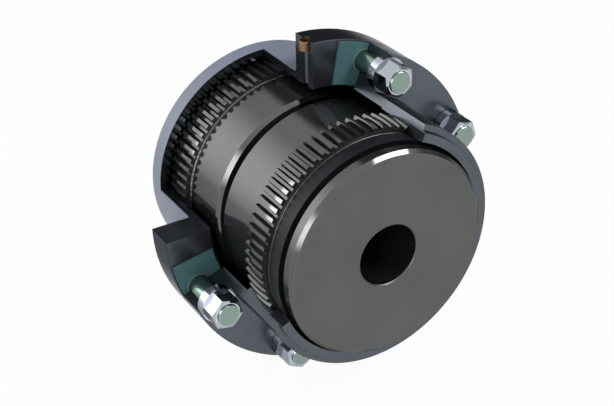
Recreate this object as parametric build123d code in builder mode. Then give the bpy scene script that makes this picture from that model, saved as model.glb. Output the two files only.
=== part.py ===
from build123d import *
from math import cos, pi, radians, sin, tan
import os

# Flanged gear coupling, cut open for display.
# Millimetres. The shaft axis is Y, the front hub is at -Y and up is +Z.
# The origin is on the shaft axis, midway between the two flanges.
# Angles are measured about the shaft axis from +X towards +Z.

# Hubs. Every radius further out is built up from the body, step by step.
hub_gap = 7.0
hub_body_radius = 77.8
hub_nose_step = 1.6
gear_rim_step = 1.7
shoulder_width = 1.7
nose_length = 24.5
shaft_bore_radius = 22.5
bore_chamfer = 0.6
hub_nose_chamfer = 2.3
hub_inner_chamfer = 2.5
shoulder_chamfer = 0.35
gear_foot_fillet = 1.2

# Teeth
tooth_count = 75
tooth_centre = 54.8
tooth_width = 23.0
tooth_start_angle = -0.7
flank_angle = 23.5
hub_tooth_share = 0.58
tooth_root_step = 0.2
hub_dedendum = 1.3
hub_addendum = 1.9
flank_crown = 0.15
flank_clearance = 0.18
tip_clearance = 0.6
root_clearance = 0.4

# Flanges and barrels of the two sleeves
flange_thickness = 22.75
gasket_thickness = 1.5
gasket_edge_gap = 1.3
gasket_bore_gap = 2.3
main_bore_step = 0.2
main_bore_end_gap = 7.6
barrel_wall = 6.3
sleeve_mouth_chamfer = 1.2
sleeve_edge_chamfer = 0.6
flange_root_fillet = 1.2

# End rings and seal rings
ring_tooth_gap = 1.9
ring_seat_length = 13.4
ring_seat_step = 1.7
ring_hub_gap = 0.7
ring_protrusion = 3.2
ring_edge_chamfer = 0.5
seal_fit = 0.05
seal_end_gap = 0.1
seal_length = 11.7
seal_lip_reach = 3.0
seal_lip_wall = 0.7

# Bolts and nuts
bolt_count = 8
bolt_start_angle = 22.5
bolt_radius = 8.0
bolt_fit = 0.05
bolt_end_chamfer = 0.25
bolt_overhang = 1.3
bolt_head_height = 10.0
hex_across_flats = 21.0
hex_turn_angle = 25.0
head_chamfer = 1.0
head_collar_edge = 1.4
head_collar_height = 3.4
collar_margin = 0.68
collar_height = 7.5
collar_chamfer = 0.5
nut_height = 20.6
nut_crown_margin = 1.0
nut_crown_drop = 1.2
nut_barrel_gap = 1.0
nut_flange_gap = 0.7

# Lubrication plugs
lube_hole_offset = 10.2
lube_hole_radius = 3.3
plug_radius = 4.3
plug_height = 6.8
plug_sink = 1.1
plug_chamfer = 0.3
plug_socket_radius = 3.5
plug_socket_depth = 4.0

# Display cuts
rear_cut_start_angle = 90.0
rear_cut_end_angle = 180.0
gasket_cut_start_angle = 80.0
gasket_cut_end_angle = 190.0
front_cut_start_angle = 67.5
front_cut_end_angle = 202.5
cut_margin = 1.0

# Radii, from the hub's body outwards
hub_nose_radius = hub_body_radius - hub_nose_step
gear_rim_radius = hub_body_radius + gear_rim_step
hub_root_radius = gear_rim_radius + tooth_root_step
pitch_radius = hub_root_radius + hub_dedendum
hub_tip_radius = pitch_radius + hub_addendum
sleeve_tip_radius = hub_root_radius + root_clearance
sleeve_root_radius = hub_tip_radius + tip_clearance
main_bore_radius = sleeve_root_radius + main_bore_step
ring_seat_radius = main_bore_radius + ring_seat_step
barrel_radius = main_bore_radius + barrel_wall
hex_corner_radius = hex_across_flats / 2 / cos(radians(30))
collar_radius = hex_corner_radius + collar_margin
bolt_circle_radius = barrel_radius + flange_root_fillet + nut_barrel_gap + collar_radius
flange_radius = bolt_circle_radius + collar_radius + nut_flange_gap
gasket_outer_radius = flange_radius - gasket_edge_gap
gasket_inner_radius = main_bore_radius + gasket_bore_gap
ring_bore_radius = hub_body_radius + ring_hub_gap
seal_bore_radius = hub_nose_radius + seal_fit
seal_lip_radius = hub_nose_radius + seal_lip_wall
bolt_hole_radius = bolt_radius + bolt_fit
nut_crown_radius = bolt_radius + nut_crown_margin

# Places along the shaft, from the middle outwards
flange_face = gasket_thickness / 2
flange_back = flange_face + flange_thickness
lube_hole_middle = flange_face + lube_hole_offset
hub_inner_face = hub_gap / 2
tooth_start = tooth_centre - tooth_width / 2
tooth_end = tooth_centre + tooth_width / 2
main_bore_depth = tooth_start - main_bore_end_gap
hub_shoulder = tooth_end + shoulder_width
hub_end = hub_shoulder + nose_length
ring_inner_face = tooth_end + ring_tooth_gap
barrel_reach = ring_inner_face + ring_seat_length
ring_outer_face = barrel_reach + ring_protrusion
seal_inner_end = hub_shoulder + seal_end_gap
seal_outer_end = seal_inner_end + seal_length
nut_top = -flange_back - nut_height
bolt_tip = nut_top - bolt_overhang
plug_top = flange_radius - plug_sink

# Angles
pitch_angle = 360 / tooth_count
bolt_angles = [bolt_start_angle + k * 360 / bolt_count for k in range(bolt_count)]
kept_bolt_angles = [a for a in bolt_angles if not rear_cut_start_angle < a < rear_cut_end_angle]


def polar(radius, angle):
    """Point at a radius and angle in a plane square to the shaft."""
    return (radius * cos(radians(angle)), radius * sin(radians(angle)))


def half_tooth(radius, thinning):
    """Half the angle that a hub tooth takes up at a radius."""
    half_arc = hub_tooth_share * radians(pitch_angle) / 2
    slope = (radius - pitch_radius) * tan(radians(flank_angle)) / radius
    return (half_arc - slope - thinning / radius) * 180 / pi


def gear_outline(root, tip, thinning):
    """Corner points of a ring of hub teeth, thinned on each flank."""
    points = []
    for k in range(tooth_count):
        middle = tooth_start_angle + k * pitch_angle
        at_root = half_tooth(root, thinning)
        at_tip = half_tooth(tip, thinning)
        points.append(polar(root, middle - at_root))
        points.append(polar(tip, middle - at_tip))
        points.append(polar(tip, middle + at_tip))
        points.append(polar(root, middle + at_root))
    return points


def sector_points(start, end):
    """Corners of a wedge from the shaft axis out past the flange."""
    steps = 3
    turn = (end - start) / steps
    reach = 2 * flange_radius
    return [(0, 0)] + [polar(reach, start + k * turn) for k in range(steps + 1)]


def at_ring(edges, radius, along):
    """The circular edges of a given radius at a given place along the shaft."""
    circles = edges.filter_by(GeomType.CIRCLE)
    return [e for e in circles if abs(e.radius - radius) < 0.01 and abs(e.center().Y - along) < 0.01]


# Sleeve before it is cut open: flange, barrel and internal teeth in one forging.
# Modelled as the rear one; the front one is the same part turned round.
with BuildPart() as sleeve_blank:
    with BuildSketch(Plane.YZ):
        with BuildLine():
            Polyline(
                (flange_face, main_bore_radius),
                (flange_face, flange_radius),
                (flange_back, flange_radius),
                (flange_back, barrel_radius),
                (barrel_reach, barrel_radius),
                (barrel_reach, ring_seat_radius),
                (ring_inner_face, ring_seat_radius),
                (ring_inner_face, sleeve_tip_radius),
                (main_bore_depth, sleeve_tip_radius),
                (main_bore_depth, main_bore_radius),
                close=True,
            )
        make_face()
    revolve(axis=Axis.Y)
    fillet(at_ring(sleeve_blank.edges(), barrel_radius, flange_back), radius=flange_root_fillet)
    mouth = at_ring(sleeve_blank.edges(), main_bore_radius, flange_face)
    chamfer(mouth, length=sleeve_mouth_chamfer)
    outer_edges = (
        at_ring(sleeve_blank.edges(), flange_radius, flange_face)
        + at_ring(sleeve_blank.edges(), flange_radius, flange_back)
        + at_ring(sleeve_blank.edges(), barrel_radius, barrel_reach)
    )
    chamfer(outer_edges, length=sleeve_edge_chamfer)
    # Internal teeth: the spaces are the hub's teeth with clearance all round
    with BuildSketch(Plane.XZ.offset(-ring_inner_face - cut_margin)):
        with BuildLine():
            Polyline(
                *gear_outline(sleeve_tip_radius - cut_margin, sleeve_root_radius, -flank_clearance),
                close=True,
            )
        make_face()
    extrude(amount=ring_inner_face - main_bore_depth + 2 * cut_margin, mode=Mode.SUBTRACT)
    # Bolt holes
    with BuildSketch(Plane.XZ.offset(-flange_back - cut_margin)):
        with PolarLocations(bolt_circle_radius, bolt_count, start_angle=bolt_start_angle):
            Circle(bolt_hole_radius)
    extrude(amount=flange_thickness + 2 * cut_margin, mode=Mode.SUBTRACT)
    # Two lubrication holes, one at the top and one at the bottom, each with a wider seat
    with BuildSketch(Plane.XY):
        with Locations((0, lube_hole_middle)):
            Circle(lube_hole_radius)
    extrude(amount=flange_radius + cut_margin, both=True, mode=Mode.SUBTRACT)
    for side in (1, -1):
        with BuildSketch(Plane.XY.offset(side * (plug_top - plug_height))):
            with Locations((0, lube_hole_middle)):
                Circle(plug_radius)
        extrude(amount=side * (plug_height + plug_sink + cut_margin), mode=Mode.SUBTRACT)

# Rear sleeve: a quarter is cut out as far as the face of the end ring
with BuildPart() as rear_sleeve:
    add(sleeve_blank.part)
    with BuildSketch(Plane.XZ.offset(-ring_inner_face)):
        with BuildLine():
            Polyline(*sector_points(rear_cut_start_angle, rear_cut_end_angle), close=True)
        make_face()
    extrude(amount=ring_inner_face + cut_margin, mode=Mode.SUBTRACT)

# Front sleeve: cut right through, on planes that hold two of the bolt axes
with BuildPart() as front_sleeve:
    mirror(sleeve_blank.part, about=Plane.XZ)
    with BuildSketch(Plane.XZ.offset(-cut_margin)):
        with BuildLine():
            Polyline(*sector_points(front_cut_start_angle, front_cut_end_angle), close=True)
        make_face()
    extrude(amount=barrel_reach + 2 * cut_margin, mode=Mode.SUBTRACT)

# Gasket between the flanges, cut a little wider than the rear sleeve
with BuildPart() as flange_gasket:
    with BuildSketch(Plane.XZ):
        Circle(gasket_outer_radius)
        Circle(gasket_inner_radius, mode=Mode.SUBTRACT)
        with PolarLocations(bolt_circle_radius, bolt_count, start_angle=bolt_start_angle):
            Circle(bolt_hole_radius, mode=Mode.SUBTRACT)
        with BuildLine():
            Polyline(*sector_points(gasket_cut_start_angle, gasket_cut_end_angle), close=True)
        make_face(mode=Mode.SUBTRACT)
    extrude(amount=gasket_thickness / 2, both=True)

# Rear hub: body, nose, raised rim, and a ring of crowned teeth on the rim
with BuildPart() as rear_hub:
    with BuildSketch(Plane.YZ):
        with BuildLine():
            Polyline(
                (hub_inner_face, shaft_bore_radius),
                (hub_inner_face, hub_body_radius),
                (tooth_start, hub_body_radius),
                (tooth_start, gear_rim_radius),
                (tooth_end, gear_rim_radius),
                (tooth_end, hub_body_radius),
                (hub_shoulder, hub_body_radius),
                (hub_shoulder, hub_nose_radius),
                (hub_end, hub_nose_radius),
                (hub_end, shaft_bore_radius),
                close=True,
            )
        make_face()
    revolve(axis=Axis.Y)
    foot = at_ring(rear_hub.edges(), hub_body_radius, tooth_start)
    fillet(foot, radius=min(gear_foot_fillet, 0.8 * gear_rim_step))
    chamfer(at_ring(rear_hub.edges(), hub_nose_radius, hub_end), length=hub_nose_chamfer)
    chamfer(at_ring(rear_hub.edges(), hub_body_radius, hub_inner_face), length=hub_inner_chamfer)
    chamfer(at_ring(rear_hub.edges(), hub_body_radius, hub_shoulder), length=shoulder_chamfer)
    bore_mouths = at_ring(rear_hub.edges(), shaft_bore_radius, hub_end) + at_ring(
        rear_hub.edges(), shaft_bore_radius, hub_inner_face
    )
    chamfer(bore_mouths, length=bore_chamfer)
    # Crowned teeth: the flanks bulge at the middle, and the tips follow a sphere
    with BuildPart(mode=Mode.PRIVATE) as teeth:
        for place, crown in ((-0.5, 1), (0, 0), (0.5, 1)):
            outline = gear_outline(
                hub_root_radius, hub_tip_radius + tip_clearance / 2, crown * flank_crown
            )
            with BuildSketch(Plane.XZ.offset(-tooth_centre - place * tooth_width)):
                with BuildLine():
                    Polyline(*outline, close=True)
                make_face()
                Circle(gear_rim_radius - cut_margin, mode=Mode.SUBTRACT)
        loft()
        # The sphere's seam is turned into a tooth space
        with Locations((0, tooth_centre, 0)):
            seam_angle = tooth_start_angle + pitch_angle / 2
            Sphere(hub_tip_radius, rotation=(90, 0, seam_angle), mode=Mode.INTERSECT)
    add(teeth.part)

# Front hub: the same part turned round
with BuildPart() as front_hub:
    mirror(rear_hub.part, about=Plane.XZ)

# End ring, pressed into the sleeve's end
with BuildPart() as rear_end_ring:
    with BuildSketch(Plane.YZ):
        with BuildLine():
            Polyline(
                (ring_inner_face, ring_bore_radius),
                (ring_inner_face, ring_seat_radius),
                (ring_outer_face, ring_seat_radius),
                (ring_outer_face, ring_bore_radius),
                close=True,
            )
        make_face()
    revolve(axis=Axis.Y)
    ends = rear_end_ring.edges().filter_by(GeomType.CIRCLE).group_by(Axis.Y)[-1]
    chamfer(ends, length=ring_edge_chamfer)

# Front end ring, cut with its sleeve
with BuildPart() as front_end_ring:
    mirror(rear_end_ring.part, about=Plane.XZ)
    with BuildSketch(Plane.XZ.offset(ring_inner_face - cut_margin)):
        with BuildLine():
            Polyline(*sector_points(front_cut_start_angle, front_cut_end_angle), close=True)
        make_face()
    extrude(amount=ring_outer_face - ring_inner_face + 2 * cut_margin, mode=Mode.SUBTRACT)

# Rubber seal ring on the hub's nose, with a lip that narrows outwards
with BuildPart() as rear_seal:
    with BuildSketch(Plane.YZ):
        with BuildLine():
            Polyline(
                (seal_inner_end, seal_bore_radius),
                (seal_inner_end, hub_body_radius),
                (seal_outer_end, hub_body_radius),
                (seal_outer_end + seal_lip_reach, seal_lip_radius),
                (seal_outer_end + seal_lip_reach, seal_bore_radius),
                close=True,
            )
        make_face()
    revolve(axis=Axis.Y)

with BuildPart() as front_seal:
    mirror(rear_seal.part, about=Plane.XZ)

# One bolt, drawn with its axis on Y: shank, chamfered end, coned collar and hexagonal head
with BuildPart() as bolt_pattern:
    with BuildSketch(Plane.XZ.offset(-flange_back)):
        Circle(bolt_radius)
    extrude(amount=flange_back - bolt_tip)
    chamfer(bolt_pattern.edges().sort_by(Axis.Y)[0], length=bolt_end_chamfer)
    with BuildSketch(Plane.YZ):
        with BuildLine():
            Polyline(
                (flange_back, 0),
                (flange_back, collar_radius),
                (flange_back + head_collar_edge, collar_radius),
                (flange_back + head_collar_height, hex_across_flats / 2),
                (flange_back + head_collar_height, 0),
                close=True,
            )
        make_face()
    revolve(axis=Axis.Y)
    with BuildSketch(Plane.XZ.offset(-flange_back)):
        RegularPolygon(
            hex_across_flats / 2, 6, major_radius=False, rotation=hex_turn_angle
        )
    extrude(amount=-bolt_head_height)
    chamfer(bolt_pattern.edges().group_by(Axis.Y)[-1], length=head_chamfer)

# One nut, drawn the same way: a tall round collar, a hexagon with a crowned top, and the bore
with BuildPart() as nut_pattern:
    with BuildSketch(Plane.XZ.offset(flange_back)):
        RegularPolygon(
            hex_across_flats / 2, 6, major_radius=False, rotation=hex_turn_angle
        )
    extrude(amount=nut_height)
    with BuildSketch(Plane.YZ):
        with BuildLine():
            Polyline(
                (-flange_back, 0),
                (-flange_back, hex_corner_radius),
                (nut_top + nut_crown_drop, hex_corner_radius),
                (nut_top, nut_crown_radius),
                (nut_top, 0),
                close=True,
            )
        make_face()
    revolve(axis=Axis.Y, mode=Mode.INTERSECT)
    with BuildSketch(Plane.YZ):
        with BuildLine():
            Polyline(
                (-flange_back, 0),
                (-flange_back, collar_radius - collar_chamfer),
                (-flange_back - collar_chamfer, collar_radius),
                (-flange_back - collar_height, collar_radius),
                (-flange_back - collar_height, 0),
                close=True,
            )
        make_face()
    revolve(axis=Axis.Y)
    with BuildSketch(Plane.XZ.offset(flange_back)):
        Circle(bolt_radius)
    extrude(amount=nut_height, mode=Mode.SUBTRACT)

# One lubrication plug, upright on the Z axis, with a hexagonal socket
with BuildPart() as plug_pattern:
    with BuildSketch(Plane.XY.offset(plug_top - plug_height)):
        Circle(plug_radius)
    extrude(amount=plug_height)
    chamfer(plug_pattern.edges().group_by(Axis.Z)[-1], length=plug_chamfer)
    with BuildSketch(Plane.XY.offset(plug_top)):
        RegularPolygon(plug_socket_radius, 6)
    extrude(amount=-plug_socket_depth, mode=Mode.SUBTRACT)

# Write every piece
os.makedirs("parts", exist_ok=True)
named = {
    "front_hub": front_hub,
    "rear_hub": rear_hub,
    "front_sleeve": front_sleeve,
    "rear_sleeve": rear_sleeve,
    "flange_gasket": flange_gasket,
    "front_end_ring": front_end_ring,
    "rear_end_ring": rear_end_ring,
    "front_seal": front_seal,
    "rear_seal": rear_seal,
}
for name, piece in named.items():
    piece.part.label = name
    export_step(piece.part, f"parts/{name}.step")

# Bolts and nuts are numbered by rising angle round the shaft
for number, angle in enumerate(kept_bolt_angles, start=1):
    x, z = polar(bolt_circle_radius, angle)
    with BuildPart() as flange_bolt:
        add(Pos(x, 0, z) * Rot(Y=-angle) * bolt_pattern.part)
    flange_bolt.part.label = f"flange_bolt_{number}"
    export_step(flange_bolt.part, f"parts/flange_bolt_{number}.step")
    with BuildPart() as collar_nut:
        add(Pos(x, 0, z) * Rot(Y=-angle) * nut_pattern.part)
    collar_nut.part.label = f"collar_nut_{number}"
    export_step(collar_nut.part, f"parts/collar_nut_{number}.step")

# The rear flange keeps both plugs, the front flange keeps only the bottom one
plug_places = {
    "rear_top_plug": (lube_hole_middle, 0),
    "rear_bottom_plug": (lube_hole_middle, 180),
    "front_bottom_plug": (-lube_hole_middle, 180),
}
for name, (along, turn) in plug_places.items():
    with BuildPart() as lube_plug:
        add(Pos(0, along, 0) * Rot(Y=turn) * plug_pattern.part)
    lube_plug.part.label = name
    export_step(lube_plug.part, f"parts/{name}.step")
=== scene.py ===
import math

import bpy
from bpy.props import FloatProperty, FloatVectorProperty, IntProperty, PointerProperty
from mathutils import Matrix, Vector


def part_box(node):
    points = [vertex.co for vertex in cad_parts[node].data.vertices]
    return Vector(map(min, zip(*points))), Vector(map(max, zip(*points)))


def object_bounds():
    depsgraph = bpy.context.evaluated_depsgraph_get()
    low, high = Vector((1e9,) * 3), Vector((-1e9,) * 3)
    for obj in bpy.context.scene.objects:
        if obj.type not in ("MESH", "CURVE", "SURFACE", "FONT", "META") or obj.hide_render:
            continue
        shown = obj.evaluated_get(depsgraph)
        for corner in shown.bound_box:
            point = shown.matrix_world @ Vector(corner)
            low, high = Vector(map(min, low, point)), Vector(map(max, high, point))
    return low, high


bl_info = {
    "name": "Flanged gear coupling",
    "version": (1, 0, 0),
    "blender": (4, 5, 0),
    "location": "3D Viewport > Sidebar > Coupling",
    "description": "Finishes the packed gear coupling and builds its studio and camera",
    "category": "Object",
}

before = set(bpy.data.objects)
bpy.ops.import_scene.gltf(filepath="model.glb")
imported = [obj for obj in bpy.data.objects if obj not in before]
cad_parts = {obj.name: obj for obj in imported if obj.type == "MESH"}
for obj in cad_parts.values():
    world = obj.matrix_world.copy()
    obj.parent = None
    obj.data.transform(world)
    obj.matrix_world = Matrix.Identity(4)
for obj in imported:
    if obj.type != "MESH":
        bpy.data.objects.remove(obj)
cad_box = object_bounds()
# A millimetre, since everything here is in metres
mm = 0.001

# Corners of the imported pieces' boxes: along the shaft, near the middle and far from it
hub_near, hub_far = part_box("rear_hub")
ring_near, ring_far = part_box("rear_end_ring")
sleeve_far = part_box("rear_sleeve")[1]
nut_far, nut_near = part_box("collar_nut_1")
bolt_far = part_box("flange_bolt_1")[0]


# Shader maths


class Wire:
    """A number from a node tree. An expression on it adds the Math nodes."""

    def __init__(self, tree, socket):
        self.tree = tree
        self.socket = socket

    def math(self, operation, *others):
        values = dict(enumerate((self, *others)))
        return self.tree.wire("ShaderNodeMath", {"operation": operation}, values)

    def swapped(self, operation, other):
        return self.tree.wire("ShaderNodeMath", {"operation": operation}, {0: other, 1: self})

    def __add__(self, other):
        return self.math("ADD", other)

    def __sub__(self, other):
        return self.math("SUBTRACT", other)

    def __mul__(self, other):
        return self.math("MULTIPLY", other)

    def __truediv__(self, other):
        return self.math("DIVIDE", other)

    def __pow__(self, other):
        return self.math("POWER", other)

    def __radd__(self, other):
        return self.swapped("ADD", other)

    def __rsub__(self, other):
        return self.swapped("SUBTRACT", other)

    def __rmul__(self, other):
        return self.swapped("MULTIPLY", other)

    def __rtruediv__(self, other):
        return self.swapped("DIVIDE", other)

    def __rpow__(self, other):
        return self.swapped("POWER", other)

    def __abs__(self):
        return self.math("ABSOLUTE")

    def __gt__(self, other):
        return self.math("GREATER_THAN", other)

    def __lt__(self, other):
        return self.math("LESS_THAN", other)


class Tree:
    """The node tree of a material or the world, while it is being built."""

    def __init__(self, owner):
        owner.use_nodes = True
        self.nodes = owner.node_tree.nodes
        self.links = owner.node_tree.links
        self.nodes.clear()

    def node(self, kind, settings=None, inputs=None):
        """Adds a node, gives it its settings, then the values or links of its sockets."""
        made = self.nodes.new(kind)
        for name, setting in (settings or {}).items():
            setattr(made, name, setting)
        for name, value in (inputs or {}).items():
            socket = made.inputs[name]
            if isinstance(value, Wire):
                value = value.socket
            if isinstance(value, bpy.types.NodeSocket):
                self.links.new(value, socket)
            else:
                socket.default_value = value
        return made

    def wire(self, kind, settings=None, inputs=None, output=0):
        return Wire(self, self.node(kind, settings, inputs).outputs[output])

    def shader(self, kind, inputs=None):
        return self.node(kind, {}, inputs).outputs[0]

    def mixed(self, share, first, second):
        """A shader between two shaders."""
        return self.shader("ShaderNodeMixShader", {0: share, 1: first, 2: second})

    def smooth(self, value, low, high):
        """0 below low, 1 above high, and a soft step in between."""
        settings = {"interpolation_type": "SMOOTHSTEP"}
        sockets = {"Value": value, "From Min": low, "From Max": high}
        return self.wire("ShaderNodeMapRange", settings, sockets)

    def past(self, place, limit, fade=0.3 * mm):
        """0 up to a limit and 1 past it, with a short fade between them."""
        return self.smooth(place, limit, limit + fade)

    def noise(self, vector, scale, detail=2.0, roughness=0.5, distortion=0.0):
        sockets = {
            "Vector": vector,
            "Scale": scale,
            "Detail": detail,
            "Roughness": roughness,
            "Distortion": distortion,
        }
        return self.wire("ShaderNodeTexNoise", {}, sockets)

    def bump(self, height, distance, strength):
        sockets = {"Strength": strength, "Distance": distance, "Height": height}
        return self.wire("ShaderNodeBump", {}, sockets)

    def vector(self, x, y, z):
        return self.wire("ShaderNodeCombineXYZ", {}, {0: x, 1: y, 2: z})

    def parts(self, vector):
        """The x, y and z of a vector."""
        split = self.node("ShaderNodeSeparateXYZ", {}, {0: vector})
        return [Wire(self, socket) for socket in split.outputs]

    def blend(self, share, first, second):
        """A colour between two colours."""
        sockets = {"Factor": share, "A": self.colour(first), "B": self.colour(second)}
        mix = self.node("ShaderNodeMix", {"data_type": "RGBA"}, sockets)
        return Wire(self, mix.outputs["Result"])

    def colour(self, value):
        return value if isinstance(value, Wire) else (*value, 1.0)

    def surface(self, shader):
        self.node("ShaderNodeOutputMaterial", {}, {"Surface": shader})

    def background(self, shader):
        self.node("ShaderNodeOutputWorld", {}, {"Surface": shader})


class Place:
    """Where a point is on the coupling: out from the shaft's axis and along it."""

    def __init__(self, tree):
        self.tree = tree
        coordinates = tree.node("ShaderNodeTexCoord")
        self.point = Wire(tree, coordinates.outputs["Object"])
        self.x, self.rearward, self.z = tree.parts(self.point)
        self.along = abs(self.rearward)
        self.out = (self.x * self.x + self.z * self.z) ** 0.5
        self.endwise = abs(tree.parts(coordinates.outputs["Normal"])[1])

    def turned(self, scale, sweep=60.0):
        """Lines that run round the axis, as a lathe leaves them."""
        across = (self.out + self.along * 0.7) * scale
        vector = self.tree.vector(across, self.x * sweep, self.z * sweep)
        return self.tree.noise(vector, scale=1.0, detail=2.0, roughness=0.6)

    def near_edges(self, edges, width):
        """1 on any of the circles given by radius and distance along, fading over a width."""
        nearest = None
        for radius, along in edges:
            apart = self.out - radius
            beside = self.along - along
            gap = (apart * apart + beside * beside) ** 0.5
            nearest = gap if nearest is None else nearest.math("MINIMUM", gap)
        return 1.0 - self.tree.smooth(nearest, 0.0, width)


class BoltPlace(Place):
    """Where a point is on the nearest bolt: out from the bolt's own axis."""

    def __init__(self, tree, sizes):
        super().__init__(tree)
        pitch = math.tau / sizes.bolt_count
        turn = self.z.math("ARCTAN2", self.x) / pitch
        past_bolt = (turn.math("FRACT") - 0.5) * pitch
        outward = self.out * past_bolt.math("COSINE") - sizes.bolt_circle
        aside = self.out * past_bolt.math("SINE")
        self.x = outward
        self.z = aside
        self.out = (outward * outward + aside * aside) ** 0.5


# Sizes, colours and light that a user would change


def length_property(name, description, default):
    return FloatProperty(
        name=name, description=description, default=default, subtype="DISTANCE", unit="LENGTH"
    )


def colour_property(name, description, default):
    return FloatVectorProperty(
        name=name,
        description=description,
        default=default,
        size=3,
        min=0.0,
        max=1.0,
        subtype="COLOR",
    )


def share_property(name, description, default):
    return FloatProperty(
        name=name, description=description, default=default, min=0.0, max=1.0, subtype="FACTOR"
    )


def angle_property(name, description, degrees):
    return FloatProperty(
        name=name,
        description=description,
        default=math.radians(degrees),
        subtype="ANGLE",
        unit="ROTATION",
    )


class CouplingSizes(bpy.types.PropertyGroup):
    """Radii, chamfers and places along the shaft, counted from the middle of the coupling."""

    hub_body_radius: length_property("Hub body radius", "Radius of a hub's body", 77.8 * mm)
    hub_nose_radius: length_property("Hub nose radius", "Radius of a hub's outer end", 76.2 * mm)
    hub_bore_radius: length_property("Hub bore radius", "Radius of a hub's bore", 22.5 * mm)
    hub_inner_face: length_property(
        "Hub inner face", "Place of the face that looks to the other hub", hub_near.y
    )
    hub_shoulder: length_property(
        "Hub shoulder", "Place of the step from a hub's body to its nose", 68.0 * mm
    )
    hub_outer_face: length_property("Hub outer face", "Place of a hub's outer face", hub_far.y)
    hub_inner_chamfer: length_property(
        "Hub inner chamfer", "Chamfer round a hub's inner face", 2.5 * mm
    )
    hub_nose_chamfer: length_property(
        "Hub nose chamfer", "Chamfer round a hub's outer face", 2.3 * mm
    )
    hub_small_chamfer: length_property(
        "Hub small chamfer", "Chamfer at a hub's bore and shoulder", 0.5 * mm
    )
    flange_radius: length_property("Flange radius", "Radius of the flanges", sleeve_far.x)
    flange_back: length_property(
        "Flange back", "Place of the face that the nuts stand on", -nut_near.y
    )
    barrel_radius: length_property("Barrel radius", "Radius of the sleeves' barrels", 90.0 * mm)
    barrel_end: length_property("Barrel end", "Place of the end of a sleeve", sleeve_far.y)
    ring_bore_radius: length_property("Ring bore", "Radius of an end ring's bore", 78.5 * mm)
    ring_seat_radius: length_property("Ring seat", "Outer radius of an end ring", ring_far.x)
    ring_inner_face: length_property(
        "Ring inner face", "Place of an end ring's inner face, where the cut-out ends", ring_near.y
    )
    ring_outer_face: length_property(
        "Ring outer face", "Place of an end ring's outer face", ring_far.y
    )
    seal_lip_start: length_property("Seal lip", "Place where a seal's lip starts", 79.8 * mm)
    bolt_circle: length_property(
        "Bolt circle radius", "Radius of the circle that the bolts stand on", 105.0 * mm
    )
    bolt_radius: length_property("Bolt radius", "Radius of a flange bolt", 8.0 * mm)
    bolt_end: length_property("Bolt end", "Place of a flange bolt's end", -bolt_far.y)
    nut_crown_radius: length_property(
        "Nut crown radius", "Radius of the flat on top of a nut", 9.0 * mm
    )
    nut_end: length_property("Nut end", "Place of the top of a nut", -nut_far.y)
    nut_collar_radius: length_property(
        "Nut collar radius", "Radius of a nut's round collar", 12.8 * mm
    )
    nut_collar_height: length_property(
        "Nut collar height", "Height of a nut's round collar", 7.5 * mm
    )
    bolt_count: IntProperty(
        name="Bolts in a full circle",
        description="Number of bolts before the sleeves were cut open",
        default=8,
        min=3,
    )


class CouplingFinishes(bpy.types.PropertyGroup):
    """Colours of the metals and coats, their roughness, and how worn they are."""

    hub_colour: colour_property("Hub steel", "Turned steel of the hubs", (0.115, 0.118, 0.116))
    sleeve_colour: colour_property(
        "Sleeve steel", "Machined steel of the sleeves", (0.103, 0.115, 0.131)
    )
    barrel_colour: colour_property(
        "Barrel coat", "Pale coat on the rear sleeve's barrel", (0.200, 0.224, 0.288)
    )
    ring_colour: colour_property("End ring steel", "End rings", (0.105, 0.117, 0.133))
    seal_colour: colour_property("Seal rubber", "Seal rings", (0.008, 0.009, 0.011))
    gasket_colour: colour_property("Gasket", "Fibre sheet of the gasket", (0.053, 0.124, 0.136))
    bolt_colour: colour_property("Bolt plating", "Green plating of the bolts", (0.25, 0.33, 0.29))
    nut_colour: colour_property("Nut plating", "Bright plating of the nuts", (0.44, 0.47, 0.52))
    plug_colour: colour_property("Plug copper", "Lubrication plugs", (0.262, 0.168, 0.105))
    polished: share_property("Polished roughness", "Roughness of polished steel", 0.08)
    machined: share_property("Machined roughness", "Roughness of machined faces", 0.26)
    coated: share_property("Coated roughness", "Roughness of the barrel's coat", 0.46)
    wear: share_property("Edge wear", "How much the edges are rubbed bright", 0.5)


class CouplingStudio(bpy.types.PropertyGroup):
    """Light, backdrop, floor and camera."""

    ambient: FloatProperty(
        name="Ambient", description="Plain light from all round", default=0.7, min=0.0
    )
    white: FloatProperty(
        name="Backdrop", description="Brightness of the backdrop as seen", default=1.0, min=0.0
    )
    floor_lift: share_property(
        "Floor lift", "How far the floor is lifted towards the white backdrop", 0.95
    )
    floor_radius: length_property("Floor radius", "Radius of the round floor", 1.6)
    floor_fade: length_property(
        "Floor fade", "Distance from the middle at which the floor starts to fade out", 0.5
    )
    camera_place: FloatVectorProperty(
        name="Camera",
        description="Where the camera stands",
        default=(-0.408294, -0.666635, 0.456938),
        size=3,
        subtype="TRANSLATION",
        unit="LENGTH",
    )
    camera_azimuth: angle_property(
        "Azimuth", "Direction of the camera round the upright axis, from the front", -31.0393
    )
    camera_elevation: angle_property("Elevation", "How far the camera looks down", 30.6031)
    camera_roll: angle_property(
        "Roll", "Turn of the camera about its own line of sight", -0.9486
    )
    lens: FloatProperty(
        name="Lens", description="Focal length on a 36 mm sensor", default=73.857, min=1.0
    )


# Finishes


def new_tree(name):
    material = bpy.data.materials.new(name)
    return Tree(material), material


def tinted(colour, factor, lift=0.0):
    """A colour made darker or lighter."""
    return [min(1.0, part * factor + lift) for part in colour]


def metal(tree, colour, roughness, normal, purity=1.0):
    """Bare metal. A purity below 1 adds the dull share of a film of oil and dust."""
    glancing_tint = (0.35, 0.35, 0.35, 1.0)
    sockets = {
        "Base Color": colour,
        "Metallic": purity,
        "Roughness": roughness,
        "Specular Tint": glancing_tint,
        "Normal": normal,
    }
    return tree.shader("ShaderNodeBsdfPrincipled", sockets)


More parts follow.
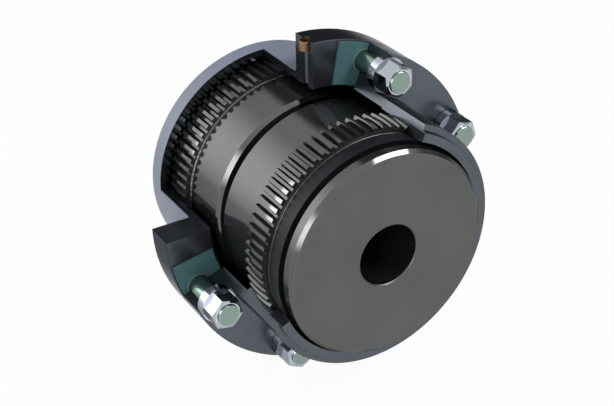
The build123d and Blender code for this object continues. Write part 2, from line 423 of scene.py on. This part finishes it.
def coating(tree, colour, roughness, gloss, normal):
    """Anything that isn't metal: paint, rubber or fibre."""
    sockets = {
        "Base Color": colour,
        "Roughness": roughness,
        "Specular IOR Level": gloss,
        "Normal": normal,
    }
    return tree.shader("ShaderNodeBsdfPrincipled", sockets)


def reached(tree, marks):
    """The patches of an edge that hands and tools have reached."""
    return tree.smooth(marks, 0.38, 0.62)


class TurnedMetal:
    """Metal from the lathe, in the making: its lines, bands, cloudy patches and marks."""

    def __init__(self, name, place_of, colour, rough_ends, rough_sides):
        tree, self.material = new_tree(name)
        self.tree = tree
        self.colour = colour
        self.place = place_of(tree)
        self.purity = 1.0
        patches = tree.noise(self.place.point, scale=26.0, detail=4.0, roughness=0.55)
        self.marks = tree.noise(self.place.point, scale=150.0, detail=3.0, roughness=0.65)
        lines = self.place.turned(scale=2600.0)
        bands = self.place.turned(scale=260.0, sweep=14.0)
        self.normal = tree.bump(lines + bands * 0.4, distance=0.004 * mm, strength=0.6)
        shade = tree.smooth(patches, 0.2, 0.8)
        self.base = tree.blend(shade, tinted(colour, 0.93), tinted(colour, 1.07))
        self.end_face = tree.smooth(self.place.endwise, 0.85, 0.97)
        side_face = 1.0 - tree.smooth(self.place.endwise, 0.15, 0.4)
        self.roughness = rough_sides + self.end_face * (rough_ends - rough_sides)
        self.roughness += 0.04 * side_face + (bands - 0.5) * 0.03 + (self.marks - 0.5) * 0.04

    def rub(self, edges, wear, width=1.1 * mm):
        """Rubs edges bright."""
        rubbed = self.place.near_edges(edges, width) * reached(self.tree, self.marks) * wear
        self.base = self.tree.blend(rubbed, self.base, tinted(self.colour, 1.9, 0.04))
        self.roughness -= rubbed * 0.03

    def dull(self, edges, width=1.2 * mm):
        """Makes small edges rougher, so that they catch no light."""
        self.roughness += 0.3 * self.tree.smooth(self.place.near_edges(edges, width), 0.1, 0.5)

    def darken(self, share, factor, rougher):
        """Darkens part of the surface and makes it rougher."""
        self.base = self.tree.blend(share, self.base, tinted(self.colour, factor))
        self.roughness += share * rougher

    def finished(self):
        shader = metal(self.tree, self.base, self.roughness, self.normal, self.purity)
        self.tree.surface(shader)
        return self.material


def hub_material(scene):
    finishes, sizes = scene.coupling_finishes, scene.coupling_sizes
    steel = TurnedMetal(
        "turned hub steel",
        Place,
        finishes.hub_colour,
        rough_ends=finishes.machined,
        rough_sides=finishes.polished,
    )
    body, nose = sizes.hub_body_radius, sizes.hub_nose_radius
    inner_face, outer_face = sizes.hub_inner_face, sizes.hub_outer_face
    chamfer_end = inner_face + sizes.hub_inner_chamfer
    wide_chamfers = [
        (nose, outer_face - sizes.hub_nose_chamfer),
        (nose - sizes.hub_nose_chamfer, outer_face),
        (body, chamfer_end),
        (body - sizes.hub_inner_chamfer, inner_face),
    ]
    steel.rub(wide_chamfers, finishes.wear * 0.5, width=0.6 * mm)
    half_chamfer = sizes.hub_small_chamfer / 2
    shoulder_edge = (body - half_chamfer, sizes.hub_shoulder)
    bore_edge = (sizes.hub_bore_radius + half_chamfer, outer_face - half_chamfer)
    steel.dull([shoulder_edge, bore_edge])
    # Painted shade on the inner chamfer, on the side where the sleeve was never cut away: darker
    # and rougher there, which hides the chamfer's highlight
    chamfer_shade_start, chamfer_shade_full = -14.0 * mm, -8.0 * mm
    on_chamfer = 1.0 - steel.tree.past(steel.place.along, chamfer_end)
    chamfer_shade = on_chamfer * steel.tree.smooth(steel.place.x, chamfer_shade_start, chamfer_shade_full)
    steel.darken(chamfer_shade, factor=0.02, rougher=0.4)
    unshaded_purity = 0.92
    steel.purity = unshaded_purity + chamfer_shade * (1.0 - unshaded_purity)
    return steel.finished()


def bare_sleeve(tree, place, shade, marks, finishes, sizes):
    """Machined steel with dull chamfers. The end of the rear cut-out is smoother than the rest."""
    steel = finishes.sleeve_colour
    inset = 0.5 * mm
    edges = [
        (sizes.flange_radius, sizes.flange_back - inset),
        (sizes.barrel_radius, sizes.barrel_end - inset),
    ]
    rubbed = place.near_edges(edges, width=1.2 * mm) * reached(tree, marks) * finishes.wear
    chamfer = tree.smooth(place.endwise, 0.2, 0.5) * (1.0 - tree.smooth(place.endwise, 0.8, 0.95))
    # Painted shade: the chamfers by the mating faces are darkened, so that they show no bright
    # reflected line
    mating_edge_shade = chamfer * (1.0 - tree.past(place.along, 2.0 * mm))
    base = tree.blend(shade, tinted(steel, 0.93), tinted(steel, 1.07))
    base = tree.blend(rubbed, base, tinted(steel, 1.4, 0.02))
    base = tree.blend(mating_edge_shade * 0.7, base, tinted(steel, 0.2))
    at_cut_end = abs(place.along - sizes.ring_inner_face) < inset
    cut_end = tree.smooth(place.endwise, 0.9, 0.98) * at_cut_end
    roughness = finishes.machined - 0.06 + place.endwise * 0.06 + (marks - 0.5) * 0.06
    roughness = roughness + chamfer * 0.3 - cut_end * 0.16
    lines = tree.bump(place.turned(scale=2400.0), distance=0.005 * mm, strength=0.5)
    return metal(tree, base, roughness, lines, purity=0.93)


def barrel_coat(tree, place, shade, marks, finishes):
    coat = finishes.barrel_colour
    pale = tree.blend(shade, tinted(coat, 0.95), tinted(coat, 1.05))
    grain = tree.noise(place.point, scale=900.0, detail=2.0, roughness=0.6)
    normal = tree.bump(grain, distance=0.02 * mm, strength=0.5)
    return coating(tree, pale, finishes.coated + (marks - 0.5) * 0.1, 0.3, normal)


def sleeve_material(scene):
    finishes, sizes = scene.coupling_finishes, scene.coupling_sizes
    tree, material = new_tree("sleeve steel")
    place = Place(tree)
    patches = tree.noise(place.point, scale=22.0, detail=4.0, roughness=0.55)
    marks = tree.noise(place.point, scale=140.0, detail=3.0, roughness=0.65)
    shade = tree.smooth(patches, 0.2, 0.8)
    off_barrel = abs(place.out - sizes.barrel_radius)
    on_barrel = 1.0 - tree.past(off_barrel, 0.4 * mm, fade=0.5 * mm)
    past_flange = tree.past(place.along, sizes.flange_back + 0.5 * mm, fade=1.0 * mm)
    sideways = 1.0 - tree.smooth(place.endwise, 0.5, 0.8)
    coated = on_barrel * past_flange * sideways * (place.rearward > 0.0)
    bare = bare_sleeve(tree, place, shade, marks, finishes, sizes)
    coat = barrel_coat(tree, place, shade, marks, finishes)
    tree.surface(tree.mixed(coated, bare, coat))
    return material


def ring_material(scene):
    finishes, sizes = scene.coupling_finishes, scene.coupling_sizes
    steel = TurnedMetal(
        "end ring steel",
        Place,
        finishes.ring_colour,
        rough_ends=finishes.polished,
        rough_sides=finishes.machined - 0.04,
    )
    bore, seat = sizes.ring_bore_radius, sizes.ring_seat_radius
    outer_face = sizes.ring_outer_face
    steel.rub([(seat - 0.1 * mm, outer_face), (bore + 0.1 * mm, outer_face)], finishes.wear)
    # The faces that the saw left lie between the bore and the seat; they are darkened and made
    # rougher as painted shade
    margin = 0.3 * mm
    past_bore = steel.tree.past(steel.place.out, bore + margin)
    near_seat = steel.tree.past(steel.place.out, seat - 2.0 * margin)
    sawn_face_shade = past_bore * (1.0 - near_seat) * (1.0 - steel.end_face)
    steel.darken(sawn_face_shade * 0.9, factor=0.06, rougher=0.33)
    return steel.finished()


def seal_material(scene):
    rubber = scene.coupling_finishes.seal_colour
    tree, material = new_tree("seal rubber")
    place = Place(tree)
    bloom = tree.noise(place.point, scale=60.0, detail=4.0, roughness=0.6)
    grain = tree.noise(place.point, scale=2200.0, detail=2.0, roughness=0.6)
    mould = place.turned(scale=700.0, sweep=8.0)
    base = tree.blend(tree.smooth(bloom, 0.3, 0.75), tinted(rubber, 0.8), tinted(rubber, 1.5))
    normal = tree.bump(grain + mould * 0.5, distance=0.03 * mm, strength=0.5)
    body = coating(tree, base, 0.42 + (bloom - 0.5) * 0.2, 0.12, normal)
    # The rubber is dark; the lip is painted darker still and matte, without the rubber's gloss, as
    # painted shade in front of the seal
    lip = tree.shader("ShaderNodeBsdfDiffuse", {"Color": (0.004, 0.004, 0.005, 1.0)})
    on_shaded_lip = tree.past(place.along, scene.coupling_sizes.seal_lip_start)
    tree.surface(tree.mixed(on_shaded_lip, body, lip))
    return material


def gasket_material(scene):
    sheet, sizes = scene.coupling_finishes.gasket_colour, scene.coupling_sizes
    tree, material = new_tree("gasket fibre")
    place = Place(tree)
    mottle = tree.noise(place.point, scale=120.0, detail=5.0, roughness=0.6)
    stretched = tree.vector(place.x * 300.0, place.along * 300.0, place.z * 1500.0)
    fibres = tree.noise(stretched, scale=1.0, detail=3.0, roughness=0.6, distortion=0.6)
    pale_fibre = (0.12, 0.2, 0.2)
    pale_rim_highlight = (0.32, 0.38, 0.35)
    rim_width = 0.3 * mm
    base = tree.blend(tree.smooth(mottle, 0.25, 0.75), tinted(sheet, 0.85), tinted(sheet, 1.12))
    base = tree.blend(tree.smooth(fibres, 0.6, 0.8) * 0.25, base, pale_fibre)
    # Painted highlight: a pale ring round each bolt hole, standing in for the light on the hole's
    # edge
    hole_rim_highlight = 1.0 - tree.past(BoltPlace(tree, sizes).out, sizes.bolt_radius + rim_width)
    base = tree.blend(hole_rim_highlight * 0.7, base, pale_rim_highlight)
    normal = tree.bump(fibres, distance=0.06 * mm, strength=0.5)
    tree.surface(coating(tree, base, 0.6 + (mottle - 0.5) * 0.2, 0.3, normal))
    return material


def bolt_material(scene):
    finishes, sizes = scene.coupling_finishes, scene.coupling_sizes
    plating = TurnedMetal(
        "green bolt plating",
        lambda tree: BoltPlace(tree, sizes),
        finishes.bolt_colour,
        rough_ends=0.24,
        rough_sides=0.18,
    )
    plating.rub([(sizes.bolt_radius - 0.1 * mm, sizes.bolt_end)], finishes.wear)
    return plating.finished()


def nut_material(scene):
    finishes, sizes = scene.coupling_finishes, scene.coupling_sizes
    plating = TurnedMetal(
        "bright nut plating",
        lambda tree: BoltPlace(tree, sizes),
        finishes.nut_colour,
        rough_ends=0.10,
        rough_sides=0.08,
    )
    collar, foot, inset = sizes.nut_collar_radius, sizes.flange_back, 0.2 * mm
    edges = [
        (sizes.nut_crown_radius, sizes.nut_end),
        (collar, foot + sizes.nut_collar_height),
        (collar - inset, foot + inset),
    ]
    plating.rub(edges, finishes.wear)
    return plating.finished()


def plug_material(scene):
    copper = scene.coupling_finishes.plug_colour
    tree, material = new_tree("plug copper")
    place = Place(tree)
    stain = tree.noise(place.point, scale=220.0, detail=4.0, roughness=0.6)
    grain = tree.noise(place.point, scale=1500.0, detail=2.0, roughness=0.6)
    left_by_stain = (0.5, 0.45, 0.4)
    stained = [part * left for part, left in zip(copper, left_by_stain)]
    base = tree.blend(tree.smooth(stain, 0.35, 0.75), copper, stained)
    normal = tree.bump(grain, distance=0.03 * mm, strength=0.4)
    tree.surface(metal(tree, base, 0.3 + stain * 0.25, normal))
    return material


def finish_nodes(names, material):
    for name in names:
        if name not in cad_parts:
            raise RuntimeError(f"the packed model has no node {name}")
        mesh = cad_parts[name].data
        mesh.materials.clear()
        mesh.materials.append(material)


def nodes_named(start):
    found = sorted(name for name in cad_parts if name.startswith(start))
    if not found:
        raise RuntimeError(f"the packed model has no node that starts with {start}")
    return found


# Studio


def seen_directly(tree):
    """1 for what the eye, a mirror or clear glass shows, 0 for scattered light."""
    path = tree.node("ShaderNodeLightPath")
    seen = Wire(tree, path.outputs["Is Camera Ray"])
    for other in ("Is Glossy Ray", "Is Transmission Ray"):
        seen = seen.math("MAXIMUM", Wire(tree, path.outputs[other]))
    return seen


def flat_piece(name, corners, surface_name):
    """A flat stage piece with one face, and the tree of its new material."""
    mesh = bpy.data.meshes.new(name)
    mesh.from_pydata(corners, [], [tuple(range(len(corners)))])
    piece = bpy.data.objects.new(name, mesh)
    bpy.context.scene.collection.objects.link(piece)
    tree, material = new_tree(surface_name)
    mesh.materials.append(material)
    return piece, tree


def card(name, azimuth, elevation, wide, tall, level, soft=0.0, distance=2.5, spill=True):
    """A studio card that faces the coupling, for its metal to mirror.

    Angles are in degrees: azimuth turns from +Y towards +X, and wide and tall are how large
    the card looks from the coupling. Level is its brightness, with the white backdrop at 1. A
    soft card fades out over that share of its half width. Without spill it doesn't light dull
    pieces.
    """
    a, e = math.radians(azimuth), math.radians(elevation)
    toward = Vector((math.sin(a) * math.cos(e), math.cos(a) * math.cos(e), math.sin(e)))
    half_wide = distance * math.tan(math.radians(wide / 2))
    half_tall = distance * math.tan(math.radians(tall / 2))
    signs = ((-1, -1), (1, -1), (1, 1), (-1, 1))
    corners = [(x * half_wide, y * half_tall, 0.0) for x, y in signs]
    panel, tree = flat_piece(name, corners, name + " light")
    turn = toward.to_track_quat("Z", "Y").to_matrix().to_4x4()
    panel.matrix_world = Matrix.Translation(toward * distance) @ turn
    x, y, _ = tree.parts(tree.node("ShaderNodeTexCoord").outputs["Object"])
    across, upward = abs(x) / half_wide, abs(y) / half_tall
    if soft:
        from_middle = (across * across + upward * upward) ** 0.5
        cover = 1.0 - tree.smooth(from_middle, 1.0 - soft, 1.0)
    else:
        cover = 1.0 - tree.smooth(across.math("MAXIMUM", upward), 0.97, 1.0)
    clear = tree.shader("ShaderNodeBsdfTransparent")
    glow = tree.shader("ShaderNodeEmission", {"Strength": level})
    tree.surface(tree.mixed(cover, clear, glow))
    panel.visible_camera = False
    panel.visible_diffuse = spill


# Operators


class COUPLING_OT_hubs(bpy.types.Operator):
    """Finish the two hubs as turned steel"""

    bl_idname = "coupling.hubs"
    bl_label = "Hubs"

    def execute(self, context):
        finish_nodes(["front_hub", "rear_hub"], hub_material(context.scene))
        return {"FINISHED"}


class COUPLING_OT_sleeves(bpy.types.Operator):
    """Finish the two sleeves: bare machined steel, and a pale coat on the rear barrel"""

    bl_idname = "coupling.sleeves"
    bl_label = "Sleeves"

    def execute(self, context):
        finish_nodes(["front_sleeve", "rear_sleeve"], sleeve_material(context.scene))
        return {"FINISHED"}


class COUPLING_OT_end_rings(bpy.types.Operator):
    """Finish the two end rings"""

    bl_idname = "coupling.end_rings"
    bl_label = "End rings"

    def execute(self, context):
        finish_nodes(["front_end_ring", "rear_end_ring"], ring_material(context.scene))
        return {"FINISHED"}


class COUPLING_OT_seals(bpy.types.Operator):
    """Finish the two seal rings as dark rubber"""

    bl_idname = "coupling.seals"
    bl_label = "Seal rings"

    def execute(self, context):
        finish_nodes(["front_seal", "rear_seal"], seal_material(context.scene))
        return {"FINISHED"}


class COUPLING_OT_gasket(bpy.types.Operator):
    """Finish the gasket between the flanges as teal fibre"""

    bl_idname = "coupling.gasket"
    bl_label = "Gasket"

    def execute(self, context):
        finish_nodes(["flange_gasket"], gasket_material(context.scene))
        return {"FINISHED"}


class COUPLING_OT_bolts(bpy.types.Operator):
    """Finish the flange bolts with green plating"""

    bl_idname = "coupling.bolts"
    bl_label = "Flange bolts"

    def execute(self, context):
        finish_nodes(nodes_named("flange_bolt"), bolt_material(context.scene))
        return {"FINISHED"}


class COUPLING_OT_nuts(bpy.types.Operator):
    """Finish the collar nuts with bright plating"""

    bl_idname = "coupling.nuts"
    bl_label = "Collar nuts"

    def execute(self, context):
        finish_nodes(nodes_named("collar_nut"), nut_material(context.scene))
        return {"FINISHED"}


class COUPLING_OT_plugs(bpy.types.Operator):
    """Finish the lubrication plugs as dull copper"""

    bl_idname = "coupling.plugs"
    bl_label = "Lubrication plugs"

    def execute(self, context):
        names = ["rear_top_plug", "rear_bottom_plug", "front_bottom_plug"]
        finish_nodes(names, plug_material(context.scene))
        return {"FINISHED"}


class COUPLING_OT_stage(bpy.types.Operator):
    """Build the pale floor, the backdrop, the studio cards and the camera"""

    bl_idname = "coupling.stage"
    bl_label = "Studio and camera"

    def execute(self, context):
        studio = context.scene.coupling_studio
        self.backdrop(context.scene, studio)
        self.floor(studio)
        self.cards()
        self.camera(context.scene, studio)
        context.scene.view_settings.view_transform = "Standard"
        return {"FINISHED"}

    def backdrop(self, scene, studio):
        scene.world = bpy.data.worlds.new("white backdrop")
        tree = Tree(scene.world)
        colour = (1.0, 1.0, 1.0, 1.0)
        plain = tree.shader("ShaderNodeBackground", {"Color": colour, "Strength": studio.ambient})
        white = tree.shader("ShaderNodeBackground", {"Color": colour, "Strength": studio.white})
        tree.background(tree.mixed(seen_directly(tree), plain, white))

    def floor(self, studio):
        sides = 64
        radius, level = studio.floor_radius, cad_box[0].z
        turns = [k * math.tau / sides for k in range(sides)]
        rim = [(radius * math.cos(t), radius * math.sin(t), level) for t in turns]
        floor, tree = flat_piece("studio floor", rim, "pale floor")
        point = Wire(tree, tree.node("ShaderNodeTexCoord").outputs["Object"])
        dust = tree.noise(point, scale=30.0, detail=3.0)
        pale = tree.blend(dust, (0.87, 0.87, 0.87), (0.9, 0.9, 0.9))
        matte = tree.shader("ShaderNodeBsdfDiffuse", {"Color": pale})
        white = tree.shader("ShaderNodeEmission", {"Strength": studio.white})
        lifted = tree.mixed(seen_directly(tree) * studio.floor_lift, matte, white)
        clear = tree.shader("ShaderNodeBsdfTransparent")
        far = tree.wire("ShaderNodeVectorMath", {"operation": "LENGTH"}, {0: point}, "Value")
        faded = tree.past(far, studio.floor_fade, fade=1.0)
        tree.surface(tree.mixed(faded, lifted, clear))

    def cards(self):
        card("key panel", azimuth=135.0, elevation=45.0, wide=28.0, tall=15.0, level=13.0)
        card(
            "side panel",
            azimuth=-130.0,
            elevation=13.5,
            wide=28.0,
            tall=38.0,
            level=6.5,
            soft=0.75,
        )
        card(
            "left panel",
            azimuth=-61.5,
            elevation=23.0,
            wide=28.0,
            tall=36.0,
            level=8.0,
            distance=2.3,
            spill=False,
        )
        card(
            "rear glow",
            azimuth=-34.0,
            elevation=16.0,
            wide=62.0,
            tall=70.0,
            level=2.5,
            soft=0.9,
        )
        card(
            "dark card",
            azimuth=62.0,
            elevation=31.0,
            wide=90.0,
            tall=80.0,
            level=0.10,
            soft=0.2,
        )
        card(
            "low dark card",
            azimuth=124.0,
            elevation=16.0,
            wide=56.0,
            tall=40.0,
            level=0.3,
            soft=0.5,
        )

    def camera(self, scene, studio):
        a, e, roll = studio.camera_azimuth, studio.camera_elevation, studio.camera_roll
        back = Vector((math.sin(a) * math.cos(e), -math.cos(a) * math.cos(e), math.sin(e)))
        right = Vector((math.cos(a), math.sin(a), 0.0))
        up = back.cross(right)
        across = math.cos(roll) * right + math.sin(roll) * up
        upward = math.cos(roll) * up - math.sin(roll) * right
        data = bpy.data.cameras.new("camera")
        data.sensor_fit = "HORIZONTAL"
        data.sensor_width = 36.0
        data.lens = studio.lens
        data.clip_start, data.clip_end = 0.01, 50.0
        camera = bpy.data.objects.new("camera", data)
        scene.collection.objects.link(camera)
        turn = Matrix((across, upward, back)).transposed().to_4x4()
        camera.matrix_world = Matrix.Translation(Vector(studio.camera_place)) @ turn
        scene.camera = camera


class VIEW3D_PT_coupling(bpy.types.Panel):
    bl_label = "Gear coupling"
    bl_space_type = "VIEW_3D"
    bl_region_type = "UI"
    bl_category = "Coupling"

    def draw(self, context):
        layout = self.layout
        for operator in OPERATORS:
            layout.operator(operator.bl_idname)
        for group in ("coupling_finishes", "coupling_studio", "coupling_sizes"):
            settings = getattr(context.scene, group)
            box = layout.box()
            for name in settings.__annotations__:
                box.prop(settings, name)


OPERATORS = (
    COUPLING_OT_hubs,
    COUPLING_OT_sleeves,
    COUPLING_OT_end_rings,
    COUPLING_OT_seals,
    COUPLING_OT_gasket,
    COUPLING_OT_bolts,
    COUPLING_OT_nuts,
    COUPLING_OT_plugs,
    COUPLING_OT_stage,
)
GROUPS = (CouplingSizes, CouplingFinishes, CouplingStudio)


def register():
    for made in (*GROUPS, *OPERATORS, VIEW3D_PT_coupling):
        bpy.utils.register_class(made)
    bpy.types.Scene.coupling_sizes = PointerProperty(type=CouplingSizes)
    bpy.types.Scene.coupling_finishes = PointerProperty(type=CouplingFinishes)
    bpy.types.Scene.coupling_studio = PointerProperty(type=CouplingStudio)


def unregister():
    del bpy.types.Scene.coupling_studio
    del bpy.types.Scene.coupling_finishes
    del bpy.types.Scene.coupling_sizes
    for made in (VIEW3D_PT_coupling, *reversed(OPERATORS), *reversed(GROUPS)):
        bpy.utils.unregister_class(made)


def main():
    register()
    bpy.ops.coupling.hubs()
    bpy.ops.coupling.sleeves()
    bpy.ops.coupling.end_rings()
    bpy.ops.coupling.seals()
    bpy.ops.coupling.gasket()
    bpy.ops.coupling.bolts()
    bpy.ops.coupling.nuts()
    bpy.ops.coupling.plugs()
    bpy.ops.coupling.stage()


if __name__ == "__main__":
    main()
